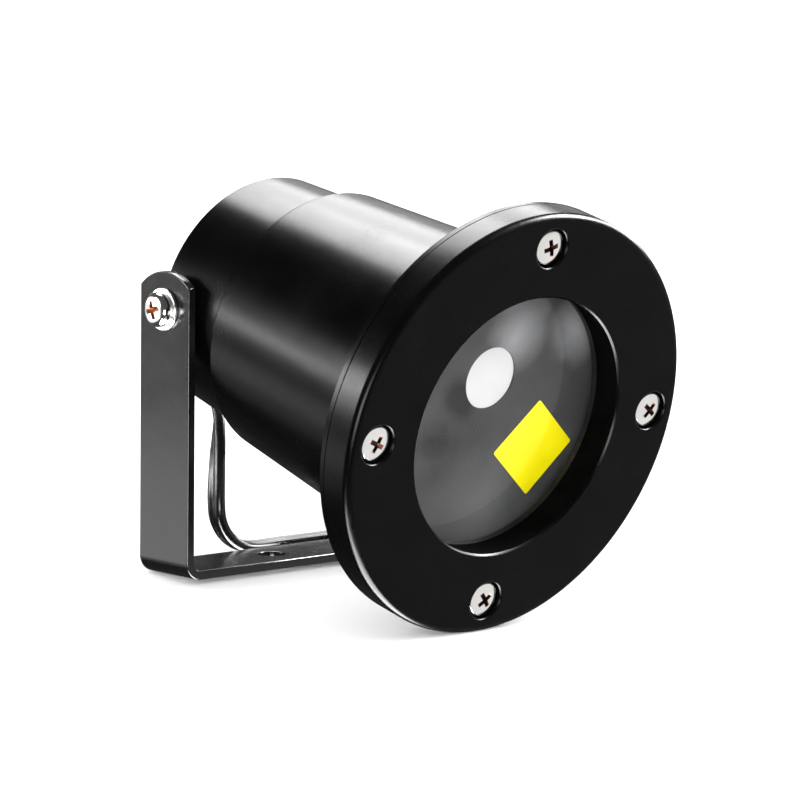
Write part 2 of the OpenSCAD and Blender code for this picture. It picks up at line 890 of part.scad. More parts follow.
// the coil spirals in, climbs a layer, spirals out, climbs, and so on
function ease(t) = let (u = max(0, min(1, t))) u * u * (3 - 2 * u);
function climbed(t) =
    let (steps = [for (m = [1 : layers - 1]) ease((t - m * layer_turns + 0.25) / 0.5)])
    steps * [for (m = [1 : layers - 1]) layer_step];
function spiral(t) =
    let (
        k = min(layers - 1, floor(t / layer_turns)),
        s = t - k * layer_turns,
        r = coil_r - turn_step * (k % 2 == 0 ? s : layer_turns - s),
        a = coil_from + 360 * t
    )
    [coil_at[0] + r * cos(a), coil_at[1] + r * sin(a), rest_z + climbed(t), a];
function heading(a) = [-sin(a), cos(a), 0, 0];
coil_route = concat(
    [spiral(0) - straight * heading(coil_from), spiral(0) - straight / 2 * heading(coil_from)],
    [for (i = [0 : coil_turns * coil_rings]) spiral(i / coil_rings)],
    [for (d = [0.5, 1]) spiral(coil_turns) + d * straight * heading(coil_from + 360 * coil_turns)]
);
coil_end = coil_route[len(coil_route) - 1];

// the lead's last stretch, over the coil's edge and down to the plug
end_route = [
    coil_end,
    coil_end - [0, 1, 0, 0],
    coil_end - [0, 2.5, 0, 0],
    [45.8, 38.6, 10.65, coil_end[3]],
    [45, 35.8, 10.4, coil_end[3]],
    [44.1, 33.2, 9.5, coil_end[3]],
    [43.4, 30.8, 8, coil_end[3]],
    [43.1, 28.8, 6.4, coil_end[3]],
    [plug_at[0], 26.8, plug_z + 0.3, coil_end[3]],
    [plug_at[0], plug_at[1] + 1.6, plug_z, coil_end[3]],
    [plug_at[0], plug_at[1] + 0.8, plug_z, coil_end[3]],
    [plug_at[0], plug_at[1], plug_z, coil_end[3]]
];

// the coil's least gap to itself, between rings one or more whole turns apart
function reach(a) = max([for (q = coil_section) q[0] * cos(a) + q[1] * sin(a)]);
function apart(dr, dz) = max([for (a = [0 : 5 : 175]) abs(dr * cos(a) + dz * sin(a)) - 2 * reach(a)]);
function radius_at(p) = norm([p[0] - coil_at[0], p[1] - coil_at[1]]);
coil_gaps = [
    for (i = [0 : coil_turns * coil_rings], n = [1 : coil_turns])
        if (i + n * coil_rings <= coil_turns * coil_rings)
            let (p = spiral(i / coil_rings), q = spiral(i / coil_rings + n))
            apart(radius_at(q) - radius_at(p), q[2] - p[2])
];
function route_length(r, i = 0) =
    i >= len(r) - 1 ? 0 : norm(xyz(r[i + 1]) - xyz(r[i])) + route_length(r, i + 1);
lead_rings = smooth(lead_route, 2);
echo(least_gap_of_the_coil_to_itself = min(coil_gaps));
echo(lead_length = route_length(lead_rings) + route_length(coil_route) + route_length(smooth(end_route, 2)));
echo(lean = lean, nose = nose, pivot_y = pivot_y, pivot_z = pivot_z, coil_end = coil_end);

module power_cord()
    color([0.05, 0.05, 0.05])
        swept(lead_rings, lead_section);

module cord_coil()
    color([0.05, 0.05, 0.05])
        swept(coil_route, coil_section);

module cord_end()
    color([0.05, 0.05, 0.05])
        swept(smooth(end_route, 2), lead_section);

// the plug lies with its sleeve towards the front
module at_plug()
    translate([plug_at[0], plug_at[1], plug_z])
        rotate([90, 0, 0])
            children();

module plug_grip()
    color([0.06, 0.06, 0.06])
        at_plug()
            rotate_extrude()
                difference() {
                    polygon([
                        [0, 0],
                        [relief_r, 0],
                        [plug_d / 2 - 1, relief_l],
                        [plug_d / 2, relief_l + 1],
                        [plug_d / 2, relief_l + plug_l - 1],
                        [plug_d / 2 - 1, relief_l + plug_l],
                        [0, relief_l + plug_l]
                    ]);
                    for (i = [2 : 6])
                        translate([plug_d / 2 - 0.5, relief_l + i * groove_pitch])
                            square([cut, groove_pitch / 2]);
                }

module plug_sleeve()
    color([0.8, 0.8, 0.78])
        at_plug()
            ring(sleeve_d / 2, sleeve_bore_d / 2, relief_l + plug_l, relief_l + plug_l + sleeve_l);

front_bezel();
bezel_screws();
glass_gasket();
front_glass();
front_panel();
aperture_lens();
main_housing();
cap_seal();
rear_cap();
cable_grommet();
u_bracket();
pivot_screws();
pivot_washers();
pivot_spacers();
laser_barrel();
collimator_lens();
laser_diode();
heat_sink();
heat_sink_screws();
board_standoffs();
driver_board();
board_components();
board_screws();
laser_leads();
supply_leads();
power_cord();
cord_coil();
cord_end();
plug_grip();
plug_sleeve();
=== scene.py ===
"""Looks of the outdoor laser light projector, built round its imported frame.

Metres, +Z up, front towards -Y.
"""
import json
import math

import bmesh
import bpy
import numpy as np
from mathutils import Matrix, Vector


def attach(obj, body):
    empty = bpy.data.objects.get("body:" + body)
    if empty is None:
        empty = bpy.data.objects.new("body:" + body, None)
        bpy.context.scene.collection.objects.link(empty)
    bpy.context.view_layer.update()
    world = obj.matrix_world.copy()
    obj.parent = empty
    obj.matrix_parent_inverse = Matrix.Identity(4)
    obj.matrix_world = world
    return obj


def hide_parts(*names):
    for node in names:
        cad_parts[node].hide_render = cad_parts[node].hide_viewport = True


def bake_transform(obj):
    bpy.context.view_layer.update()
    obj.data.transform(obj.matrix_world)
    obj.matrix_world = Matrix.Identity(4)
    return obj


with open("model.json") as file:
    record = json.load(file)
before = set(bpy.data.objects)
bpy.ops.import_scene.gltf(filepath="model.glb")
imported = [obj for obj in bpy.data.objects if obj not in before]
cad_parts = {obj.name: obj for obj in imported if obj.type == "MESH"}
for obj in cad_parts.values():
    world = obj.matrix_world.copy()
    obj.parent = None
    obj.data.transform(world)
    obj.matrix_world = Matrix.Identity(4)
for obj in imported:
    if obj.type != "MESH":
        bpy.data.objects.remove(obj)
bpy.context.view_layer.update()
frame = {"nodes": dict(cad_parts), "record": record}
nodes = frame["nodes"]
scene = bpy.context.scene
MM = 0.001

# how the head stands, as in the part's source: its nose's turn in degrees, its pivot and its reach
NOSE = 9.65859
PIVOT = Vector((0, 39.1709, 60.4911)) * MM
FRONT_REACH = 83 * MM

IN_HEAD = Matrix.Translation(PIVOT) @ Matrix.Rotation(math.radians(NOSE), 4, "X")
# Z is the depth from the front face, X to the right seen from the rear, Y down
ON_AXIS = IN_HEAD @ Matrix.Translation((0, -FRONT_REACH, 0)) @ Matrix.Rotation(math.radians(-90), 4, "X")


# camera, lights and floor

# the camera's lens, place and turn come from one fit to the photograph
LENS_MM, SENSOR_MM = 177.4, 36
CAMERA_PLACE = (-0.57815, -0.62781, 0.20330)
CAMERA_RIGHT = Vector((0.73958, -0.66978, 0.066454))
CAMERA_BACK = Vector((-0.668959, -0.720578, 0.182377))
NEAREST, FURTHEST = 0.05, 50

FLOOR_HALF = 12
FLOOR_GREY, FLOOR_ROUGH, FLOOR_SHINE = 0.86, 0.9, 0.1
WORLD_STRENGTH = 0.07

CENTRE = Vector((0, 0, 0.05))
BY_ARM = (-0.02, 0.03, 0.05)
BY_RING = (-0.04, -0.04, 0.05)

# soft light for colour and shadow, which the black paint doesn't mirror: name, place, size, power
SOFT_LIGHTS = (
    ("ceiling", (0, 0, 2.2), (8, 8), 290),
    ("left_fill", (-1.3, -0.9, 0.4), (1.8, 0.8), 44),
    ("right_fill", (1.4, -0.6, 0.4), (1.8, 0.8), 44),
    ("rear_fill", (0.2, 1.5, 0.4), (1.8, 0.8), 30),
)

# cards that only show as reflections: name, place, aim, shape, size, power
CARDS = (
    # along the tube's top and the ring's side, then their far edges
    ("top_box", (0.17, 0.47, 0.73), CENTRE, "DISK", (0.38, 0.38), 12),
    ("rear_box", (0.47, 0.52, 0.60), CENTRE, "DISK", (0.42, 0.42), 6.2),
    ("edge_card", (0.62, 0.56, 0.24), CENTRE, "RECTANGLE", (0.3, 0.13), 0.14),
    ("far_card", (0.76, 0.0, 0.31), CENTRE, "RECTANGLE", (0.5, 0.2), 8.5),
    # the arm, the tube's flank and the ring's left side
    ("left_backdrop", (-0.8, 0.9, -0.1), CENTRE, "RECTANGLE", (1.5, 1.0), 4.2),
    ("flank_card", (-0.33, 0.36, 0.085), BY_ARM, "RECTANGLE", (0.34, 0.055), 1.3),
    ("side_card", (-0.40, 0.27, 0.15), BY_RING, "RECTANGLE", (0.14, 0.08), 2.0),
    ("arm_card", (-0.33, 0.36, -0.10), BY_ARM, "RECTANGLE", (0.36, 0.09), 0.22),
    # edges that face the camera, the front face and screws, then the window's and counterbores' edges
    ("camera_card", (-0.85, -0.85, -0.18), CENTRE, "RECTANGLE", (0.6, 0.4), 26),
    ("front_card", (0.37, -0.42, -0.25), CENTRE, "RECTANGLE", (1.1, 0.9), 2.4),
    ("right_card", (0.62, -0.25, 0.60), CENTRE, "RECTANGLE", (0.4, 0.4), 80),
    # the ring's front edge at the lower left, and the undersides
    ("low_card", (-0.21, -0.03, -0.29), CENTRE, "RECTANGLE", (0.15, 0.15), 4),
    ("under_card", (-0.02, -0.06, -0.35), CENTRE, "RECTANGLE", (0.28, 0.28), 16),
)


def add_camera():
    data = bpy.data.cameras.new("camera")
    data.lens, data.sensor_width = LENS_MM, SENSOR_MM
    data.clip_start, data.clip_end = NEAREST, FURTHEST
    cam = bpy.data.objects.new("camera", data)
    right, back = CAMERA_RIGHT.normalized(), CAMERA_BACK.normalized()
    turn = Matrix((right, back.cross(right), back)).transposed().to_4x4()
    cam.matrix_world = Matrix.Translation(CAMERA_PLACE) @ turn
    scene.collection.objects.link(cam)
    scene.camera = cam


def add_light(name, place, aim, shape, size, power, only_mirrored):
    data = bpy.data.lights.new(name, "AREA")
    data.shape = shape
    data.size, data.size_y = size
    data.energy = power
    lamp = bpy.data.objects.new(name, data)
    lamp.location = place
    lamp.rotation_euler = (Vector(aim) - Vector(place)).to_track_quat("-Z", "Y").to_euler()
    lamp.visible_camera = False
    lamp.visible_diffuse = not only_mirrored
    lamp.visible_glossy = only_mirrored
    scene.collection.objects.link(lamp)


def add_floor():
    bm = bmesh.new()
    bmesh.ops.create_grid(bm, x_segments=1, y_segments=1, size=FLOOR_HALF)
    mesh = bpy.data.meshes.new("floor")
    bm.to_mesh(mesh)
    bm.free()
    floor = bpy.data.objects.new("floor", mesh)
    scene.collection.objects.link(floor)
    mat = bpy.data.materials.new("floor")
    mat.use_nodes = True
    shader = mat.node_tree.nodes["Principled BSDF"]
    shader.inputs["Base Color"].default_value = (FLOOR_GREY, FLOOR_GREY, FLOOR_GREY, 1)
    shader.inputs["Roughness"].default_value = FLOOR_ROUGH
    shader.inputs["Specular IOR Level"].default_value = FLOOR_SHINE
    mesh.materials.append(mat)
    # the paint doesn't mirror the floor, so that the cards below it show
    floor.visible_glossy = False


def add_world():
    world = bpy.data.worlds.new("world")
    world.use_nodes = True
    background = world.node_tree.nodes["Background"]
    background.inputs["Color"].default_value = (1, 1, 1, 1)
    background.inputs["Strength"].default_value = WORLD_STRENGTH
    scene.world = world


add_camera()
add_floor()
add_world()
for name, place, size, power in SOFT_LIGHTS:
    add_light(name, place, CENTRE, "RECTANGLE", size, power, only_mirrored=False)
for name, place, aim, shape, size, power in CARDS:
    add_light(name, place, aim, shape, size, power, only_mirrored=True)

scene.view_settings.view_transform = "Standard"


# node materials

STRAIGHT = (0, 0, 0)
ALONG_HEAD = (math.radians(-NOSE), 0, 0)
# where nearly all of a noise's values lie, and the same for the sum of two noises
LOW, HIGH = 0.3, 0.7
SUM_LOW, SUM_HIGH = 0.7, 1.3


class Nodes:
    """Shorthand for building one material."""

    def __init__(self, name):
        self.mat = bpy.data.materials.new(name)
        self.mat.use_nodes = True
        self.tree = self.mat.node_tree
        self.shader = self.tree.nodes["Principled BSDF"]
        self.place = self.add("ShaderNodeTexCoord").outputs["Object"]

    def add(self, kind, **values):
        node = self.tree.nodes.new(kind)
        for name, value in values.items():
            setattr(node, name, value)
        return node

    def link(self, a, b):
        self.tree.links.new(a, b)

    def stretched(self, scale, turn=STRAIGHT):
        node = self.add("ShaderNodeMapping")
        node.inputs["Scale"].default_value = scale
        node.inputs["Rotation"].default_value = turn
        self.link(self.place, node.inputs["Vector"])
        return node.outputs["Vector"]

    def noise(self, scale, detail=3, rough=0.55, vector=None):
        node = self.add("ShaderNodeTexNoise")
        node.inputs["Scale"].default_value = scale
        node.inputs["Detail"].default_value = detail
        node.inputs["Roughness"].default_value = rough
        self.link(vector or self.place, node.inputs["Vector"])
        return node.outputs[0]

    def ranged(self, value, low, high, new_low, new_high):
        node = self.add("ShaderNodeMapRange")
        for socket, number in zip(node.inputs[1:5], (low, high, new_low, new_high)):
            socket.default_value = number
        self.link(value, node.inputs["Value"])
        return node.outputs["Result"]

    def ramp(self, value, *stops):
        node = self.add("ShaderNodeValToRGB")
        while len(node.color_ramp.elements) < len(stops):
            node.color_ramp.elements.new(0.5)
        for element, (at, colour) in zip(node.color_ramp.elements, stops):
            element.position = at
            element.color = (*colour, 1)
        self.link(value, node.inputs["Fac"])
        return node.outputs["Color"]

    def joined(self, a, b, how="ADD"):
        node = self.add("ShaderNodeMath", operation=how)
        for socket, value in zip(node.inputs, (a, b)):
            if isinstance(value, (int, float)):
                socket.default_value = value
            else:
                self.link(value, socket)
        return node.outputs[0]

    def bump(self, height, strength, distance):
        node = self.add("ShaderNodeBump")
        node.inputs["Strength"].default_value = strength
        node.inputs["Distance"].default_value = distance
        self.link(height, node.inputs["Height"])
        self.link(node.outputs["Normal"], self.shader.inputs["Normal"])

    def set(self, **values):
        for name, value in values.items():
            socket = self.shader.inputs[name.replace("_", " ")]
            if hasattr(value, "links"):
                self.link(value, socket)
            elif isinstance(value, tuple):
                socket.default_value = (*value, 1)
            else:
                socket.default_value = value


# strokes are finer along the axis than round it; how much of the fine grain goes into the bumps
STROKE_SCALE = (900, 2200, 900)
FINE_GRAIN = 0.12


def coated(name, dark, light, rough, ior, turn, strokes, uneven):
    """Powder coat: mottled colour and gloss, fine grain, faint strokes round the axis, slight wave."""
    n = Nodes(name)
    cloud = n.noise(scale=70, detail=4, rough=0.6)
    stroke = n.noise(scale=1, detail=3, rough=0.6, vector=n.stretched(STROKE_SCALE, turn))
    fine = n.noise(scale=2600, detail=2, rough=0.5)
    wave = n.noise(scale=190, detail=1, rough=0.5)
    n.set(
        Base_Color=n.ramp(cloud, (LOW, dark), (HIGH, light)),
        Roughness=n.ranged(n.joined(cloud, stroke), SUM_LOW, SUM_HIGH, *rough),
        IOR=ior,
    )
    height = n.joined(n.joined(fine, FINE_GRAIN, "MULTIPLY"), n.joined(stroke, strokes, "MULTIPLY"))
    height = n.joined(height, n.joined(wave, uneven, "MULTIPLY"))
    n.bump(height, strength=0.5, distance=0.0001)
    return n.mat


# long scratches, front to back
SCRATCH_SCALE = (900, 90, 900)


def metal(name, colour, shade, rough):
    n = Nodes(name)
    streaks = n.noise(scale=1, detail=4, rough=0.6, vector=n.stretched(SCRATCH_SCALE))
    n.set(
        Base_Color=n.ramp(n.noise(scale=160), (LOW, shade), (HIGH, colour)),
        Roughness=n.ranged(streaks, LOW, HIGH, *rough),
        Metallic=1.0,
    )
    n.bump(streaks, strength=0.15, distance=0.00001)
    return n.mat


def moulded(name, dark, light, rough, grain=1400, strength=0.2, depth=0.00003, ior=1.45):
    n = Nodes(name)
    cloud = n.noise(scale=120)
    n.set(
        Base_Color=n.ramp(cloud, (LOW, dark), (HIGH, light)),
        Roughness=n.ranged(cloud, LOW, HIGH, *rough),
        IOR=ior,
    )
    n.bump(n.noise(grain, detail=2), strength, depth)
    return n.mat


# roughness of the pane between and in its smears, and how much light a smear lets through
PANE_SMOOTH, PANE_SMEARED = 0.02, 0.05
SMEAR_DIMS = 0.97
PANE_IOR = 1.3


def clear(name, tint):
    """A pane that mirrors by Fresnel where light enters it and lets the rest through unbent."""
    n = Nodes(name)
    tree = n.tree
    tree.nodes.remove(n.shader)
    through = n.add("ShaderNodeBsdfTransparent")
    smear = n.noise(scale=60, detail=4, rough=0.6)
    dimmed = tuple(t * SMEAR_DIMS for t in tint)
    n.link(n.ramp(smear, (LOW, dimmed), (HIGH, tint)), through.inputs["Color"])
    shine = n.add("ShaderNodeBsdfGlossy")
    n.link(n.ranged(smear, LOW, HIGH, PANE_SMOOTH, PANE_SMEARED), shine.inputs["Roughness"])
    bend = n.add("ShaderNodeFresnel")
    bend.inputs["IOR"].default_value = PANE_IOR
    entering = n.joined(1, n.add("ShaderNodeNewGeometry").outputs["Backfacing"], "SUBTRACT")
    mix = n.add("ShaderNodeMixShader")
    n.link(n.joined(bend.outputs[0], entering, "MULTIPLY"), mix.inputs[0])
    n.link(through.outputs[0], mix.inputs[1])
    n.link(shine.outputs[0], mix.inputs[2])
    n.link(mix.outputs[0], tree.nodes["Material Output"].inputs["Surface"])
    return n.mat


# painted reflections and painted light and shade on the panel, as soft patches: place in mm, radius in
# mm, how much lighter or darker
PANEL_PAINTED_LIGHT = (
    ((5.9, -33.3, 65.3), 10, 0.45),
    ((24.0, -35.0, 65.4), 10, 0.45),
    ((-9.5, -33.0, 52.7), 5, -0.09),
    ((-6.6, -32.5, 50.4), 5, -0.09),
    ((-14.0, -31.5, 42.6), 6, -0.07),
    ((-8.0, -30.3, 40.0), 16, -0.045),
    ((8.0, -27.0, 20.0), 24, 0.1),
)
# how far the painted patches' edges wander, the panel's own range of tone, and the colours at tone 0 and
# 1
PAINTED_LIGHT_WARP = 3 * MM
TONE_LOW, TONE_HIGH = 0.05, 0.11
PANEL_DARK, PANEL_LIGHT = (0.008, 0.008, 0.009), (0.46, 0.46, 0.47)


def panel_with_painted_light(name):
    """A dark satin panel with a few soft light and dark patches painted into its colour: painted
    reflections, as if dimly mirroring a room, and painted light and shade.
    """
    n = Nodes(name)
    tone = n.ranged(n.noise(scale=55, detail=4, rough=0.6), LOW, HIGH, TONE_LOW, TONE_HIGH)
    for place, radius, change in PANEL_PAINTED_LIGHT:
        ball = n.add("ShaderNodeTexGradient", gradient_type="SPHERICAL")
        at = n.add("ShaderNodeMapping")
        at.inputs["Scale"].default_value = (1 / (radius * MM),) * 3
        at.inputs["Location"].default_value = tuple(-v / radius for v in place)
        warp = n.add("ShaderNodeVectorMath", operation="ADD")
        n.link(n.place, warp.inputs[0])
        n.link(n.ranged(n.noise(scale=150, rough=0.6), 0, 1, -PAINTED_LIGHT_WARP, PAINTED_LIGHT_WARP), warp.inputs[1])
        n.link(warp.outputs[0], at.inputs["Vector"])
        n.link(at.outputs[0], ball.inputs[0])
        # each patch adds painted light or painted shade to the panel's tone
        tone = n.joined(tone, n.joined(ball.outputs["Fac"], change, "MULTIPLY"))
    n.set(Base_Color=n.ramp(tone, (0, PANEL_DARK), (1, PANEL_LIGHT)), Roughness=0.6)
    return n.mat


BLACK = coated("black_paint", (0.0004, 0.0004, 0.0005), (0.0012, 0.0012, 0.0014), (0.22, 0.28), 1.15,
               turn=ALONG_HEAD, strokes=0.02, uneven=0.5)
ARM = coated("bracket_paint", (0.002, 0.002, 0.0025), (0.005, 0.005, 0.006), (0.14, 0.24), 1.4,
             turn=STRAIGHT, strokes=0.05, uneven=0.6)
STEEL = metal("bright_steel", (0.93, 0.92, 0.9), (0.84, 0.82, 0.79), (0.1, 0.22))
# painted shade: the ring screws' cross recesses are coloured dark brown for the shade in them, tinted by
# a painted warm reflection
RECESS_SHADE = metal("painted_recess_shade", (0.12, 0.05, 0.03), (0.04, 0.018, 0.012), (0.35, 0.5))
WASHER = metal("washer_steel", (0.95, 0.94, 0.92), (0.88, 0.87, 0.85), (0.38, 0.5))
# painted reflection: the pivot screws' cross recesses are coloured orange-brown for a warm reflection in
# the bare steel, with painted shade
WARM_RECESS_REFLECTION = metal("painted_recess_reflection", (0.62, 0.3, 0.16), (0.3, 0.11, 0.05), (0.3, 0.45))
RUBBER = moulded("black_rubber", (0.004, 0.004, 0.004), (0.01, 0.01, 0.01), (0.5, 0.7), ior=1.3)
GLASS = clear("clear_glass", (0.97, 0.97, 0.97))
PANEL = panel_with_painted_light("grey_panel")
LENS = moulded("white_lens", (0.52, 0.52, 0.52), (0.55, 0.55, 0.55), (0.5, 0.6), strength=0)
NYLON = moulded("black_nylon", (0.006, 0.006, 0.006), (0.012, 0.012, 0.012), (0.4, 0.55), ior=1.35)
BRASS = metal("brass", (0.78, 0.58, 0.27), (0.66, 0.47, 0.2), (0.2, 0.35))
GILT = metal("gilt_metal", (0.86, 0.68, 0.36), (0.76, 0.58, 0.3), (0.15, 0.28))
ALUMINIUM = metal("bare_aluminium", (0.82, 0.83, 0.84), (0.7, 0.71, 0.72), (0.28, 0.42))
BOARD = moulded("green_board", (0.012, 0.11, 0.045), (0.02, 0.16, 0.06), (0.3, 0.45), grain=700)
COMPONENT = moulded("black_component", (0.012, 0.012, 0.014), (0.03, 0.03, 0.035), (0.35, 0.55))
WIRE = moulded("red_wire", (0.35, 0.015, 0.012), (0.5, 0.03, 0.025), (0.3, 0.45))
CORD = moulded("black_cord", (0.003, 0.003, 0.003), (0.007, 0.007, 0.007), (0.22, 0.36),
               grain=900, depth=0.00002, ior=1.38)
PLUG = moulded("black_plug", (0.005, 0.005, 0.005), (0.01, 0.01, 0.01), (0.4, 0.55))
PLATED = metal("plated_steel", (0.8, 0.8, 0.78), (0.68, 0.68, 0.66), (0.14, 0.28))
WALL = moulded("window_wall", (0.0006, 0.0006, 0.0006), (0.002, 0.002, 0.002), (0.8, 0.9), ior=1.05)
LABEL = moulded("plain_label", (0.84, 0.74, 0.0), (0.88, 0.78, 0.0), (0.4, 0.5), strength=0)

BY_SLOT = {
    "black_paint": BLACK, "bracket_paint": ARM, "bright_steel": STEEL, "black_rubber": RUBBER,
    "clear_glass": GLASS, "grey_panel": PANEL, "white_lens": LENS, "black_nylon": NYLON, "brass": BRASS,
    "gilt_metal": GILT, "bare_aluminium": ALUMINIUM, "green_board": BOARD, "black_component": COMPONENT,
    "red_wire": WIRE, "black_cord": CORD, "black_plug": PLUG, "plated_steel": PLATED,
}
SLOT_OF = {s["node"]: s["material_slot"] for s in frame["record"]["subparts"]}


def dress(obj, material):
    obj.data.materials.clear()
    obj.data.materials.append(material)
    return obj


for name, obj in nodes.items():
    dress(obj, BY_SLOT[SLOT_OF[name]])


# making meshes

# in degrees: edges sharper than this are shaded sharp
SHARP_ANGLE = 35


def shaded(obj, angle=SHARP_ANGLE):
    obj.data.shade_smooth()
    obj.data.set_sharp_from_angle(angle=math.radians(angle))
    return obj


def finish_mesh(bm, name, place=None, angle=SHARP_ANGLE, smooth=True):
    mesh = bpy.data.meshes.new(name)
    bmesh.ops.recalc_face_normals(bm, faces=bm.faces)
    bm.to_mesh(mesh)
    bm.free()
    if place:
        mesh.transform(place)
    obj = bpy.data.objects.new(name, mesh)
    scene.collection.objects.link(obj)
    return shaded(obj, angle) if smooth else obj


def flat_faced(obj):
    """Shading that keeps flat faces flat beside their rounded edges."""
    modifier = obj.modifiers.new("flat_faced", "WEIGHTED_NORMAL")
    modifier.keep_sharp = True
    return obj


def cut(obj, tool):
    """Take the tool's volume out of a piece; the tool's material lines the cut."""
    modifier = obj.modifiers.new("cut", "BOOLEAN")
    modifier.operation, modifier.solver, modifier.object = "DIFFERENCE", "EXACT", tool
    modifier.material_mode = "TRANSFER"
    ready = obj.evaluated_get(bpy.context.evaluated_depsgraph_get())
    mesh = bpy.data.meshes.new_from_object(ready)
    obj.modifiers.clear()
    obj.data = mesh
    bpy.data.objects.remove(tool)
    return shaded(obj)


def rounded(corners, steps=5):
    """A closed outline from corners (x, y, radius)."""
    out = []
    for i, (x, y, radius) in enumerate(corners):
        corner = Vector((x, y))
        if not radius:
            out.append(corner)
            continue
        before = (Vector(corners[i - 1][:2]) - corner).normalized()
        after = (Vector(corners[(i + 1) % len(corners)][:2]) - corner).normalized()
        half = before.angle(after) / 2
        centre = corner + (before + after).normalized() * radius / math.sin(half)
        first = (corner + before * radius / math.tan(half) - centre).normalized()
        last = (corner + after * radius / math.tan(half) - centre).normalized()
        out += [centre + first.slerp(last, k / steps) * radius for k in range(steps + 1)]
    return out


# a point this near the axis, in mm, is a single point
ON_THE_AXIS = 1e-6


def add_lathe(bm, outline, place, segments):
    """Turn a closed outline of (radius, depth) in mm round Z and set it in place."""
    rings = []
    for radius, depth in outline:
        count = segments if radius > ON_THE_AXIS else 1
        angles = [2 * math.pi * k / count for k in range(count)]
        rings.append([bm.verts.new(place @ Vector((radius * math.cos(a), radius * math.sin(a), depth)))
                      for a in angles])
    for a, b in zip(rings, rings[1:] + rings[:1]):
        for k in range(segments):
            n = (k + 1) % segments
            if len(a) == 1 and len(b) == 1:
                break
            if len(a) == 1:
                face = (a[0], b[n], b[k])
            elif len(b) == 1:
                face = (a[k], a[n], b[0])
            else:
                face = (a[k], a[n], b[n], b[k])
            bm.faces.new(face)


# faces that meet flatter than the first angle are joined, edges sharper than the second are rounded
FLAT_ANGLE, EDGE_ANGLE = math.radians(0.4), math.radians(40)
MERGE_WITHIN = 1e-6
EDGE_STEPS = 3


def softened(node, name, body, width):
    """A copy of a CAD node with its sharp edges rounded; the width is in mm."""
    bm = bmesh.new()
    bm.from_mesh(nodes[node].data)
    bmesh.ops.remove_doubles(bm, verts=bm.verts, dist=MERGE_WITHIN)
    bmesh.ops.dissolve_limit(bm, angle_limit=FLAT_ANGLE, verts=bm.verts, edges=bm.edges)
    sharp = [e for e in bm.edges if e.is_manifold and e.calc_face_angle() > EDGE_ANGLE]
    bmesh.ops.bevel(bm, geom=sharp, offset=width * MM, segments=EDGE_STEPS, profile=0.5, affect="EDGES",
                    clamp_overlap=True)
    piece = flat_faced(finish_mesh(bm, name))
    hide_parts(node)
    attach(piece, body)
    return dress(piece, BY_SLOT[SLOT_OF[node]])


TO_METRES = Matrix.Scale(MM, 4)


# front ring: section from the front face back, with counterbores for the four screws, in mm
FLANGE_R, BEZEL_T = 47.5, 7.6
EDGE_R, REAR_EDGE_R, INNER_EDGE_R = 1.7, 0.35, 0.1
WINDOW_R, WINDOW_DRAFT, WINDOW_CHAMFER = 29, 0.6, 0.4
SEAT_IN, SEAT_OUT, SEAT_DEPTH = 35.5, 44.5, 3.55
SCREW_R, SCREW_TURN, SCREW_COUNT = 40, 0.8, 4
BORE_R, BORE_DEPTH, BORE_LIP = 4.3, 2.2, 0.5
SHANK_HOLE_R = 2.2
RING_SEGMENTS, BORE_SEGMENTS, LIP_POINTS = 192, 48, 6
# how far a cutting tool reaches past the faces
TOOL_OVER = 1
# a face this far past the wall's radius still counts as the wall, from this far behind the chamfer
WALL_SLACK, WALL_FROM = 0.1, 0.2


def screw_place(i):
    angle = math.radians(-SCREW_TURN - 90 + 360 * i / SCREW_COUNT)
    offset = (SCREW_R * math.cos(angle), SCREW_R * math.sin(angle), 0)
    return ON_AXIS @ TO_METRES @ Matrix.Translation(offset)


def counterbores():
    mouth = [(BORE_R + BORE_LIP * (1 - math.cos(t)), BORE_LIP * (1 - math.sin(t)))
             for t in np.linspace(math.pi / 2, 0, LIP_POINTS)]
    outline = [
        (0, -TOOL_OVER), (BORE_R + BORE_LIP, -TOOL_OVER), *mouth, (BORE_R, BORE_DEPTH),
        (SHANK_HOLE_R, BORE_DEPTH), (SHANK_HOLE_R, BEZEL_T + TOOL_OVER), (0, BEZEL_T + TOOL_OVER),
    ]
    bm = bmesh.new()
    for i in range(SCREW_COUNT):
        add_lathe(bm, outline, screw_place(i), BORE_SEGMENTS)
    return finish_mesh(bm, "counterbores")


def front_ring():
    bm = bmesh.new()
    inner = [
        (WINDOW_R + WINDOW_CHAMFER, 0), (WINDOW_R, WINDOW_CHAMFER), (WINDOW_R + WINDOW_DRAFT, BEZEL_T),
        (SEAT_IN, BEZEL_T), (SEAT_IN, SEAT_DEPTH), (SEAT_OUT, SEAT_DEPTH), (SEAT_OUT, BEZEL_T),
    ]
    section = [(*corner, INNER_EDGE_R) for corner in inner]
    section += [(FLANGE_R, BEZEL_T, REAR_EDGE_R), (FLANGE_R, 0, EDGE_R)]
    add_lathe(bm, rounded(section, steps=6), ON_AXIS @ TO_METRES, RING_SEGMENTS)
    ring = finish_mesh(bm, "front_ring")
    dress(ring, BLACK)
    ring.data.materials.append(WALL)
    to_axis = (ON_AXIS @ TO_METRES).inverted()
    for face in ring.data.polygons:
        centre = to_axis @ face.center
        on_wall = centre.xy.length < WINDOW_R + WINDOW_DRAFT + WALL_SLACK
        if on_wall and centre.z > WINDOW_CHAMFER + WALL_FROM:
            face.material_index = 1
    tool = counterbores()
    tool.data.materials.append(BLACK)
    flat_faced(cut(ring, tool))
    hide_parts("front_bezel")
    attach(ring, "head")


# pan head screws with a cross recess; washers under the pivot screws; in mm
HEAD_R, SHANK_R, TIP, UNDER_R = 3.9, 2, 0.3, 0.15
# the crown's radius and the points along its outline, in head radii
CROWN = 3.2
CROWN_POINTS = (1, 0.6, 0.4, 0.2, 0)
HEAD_SEGMENTS, WASHER_SEGMENTS = 64, 96
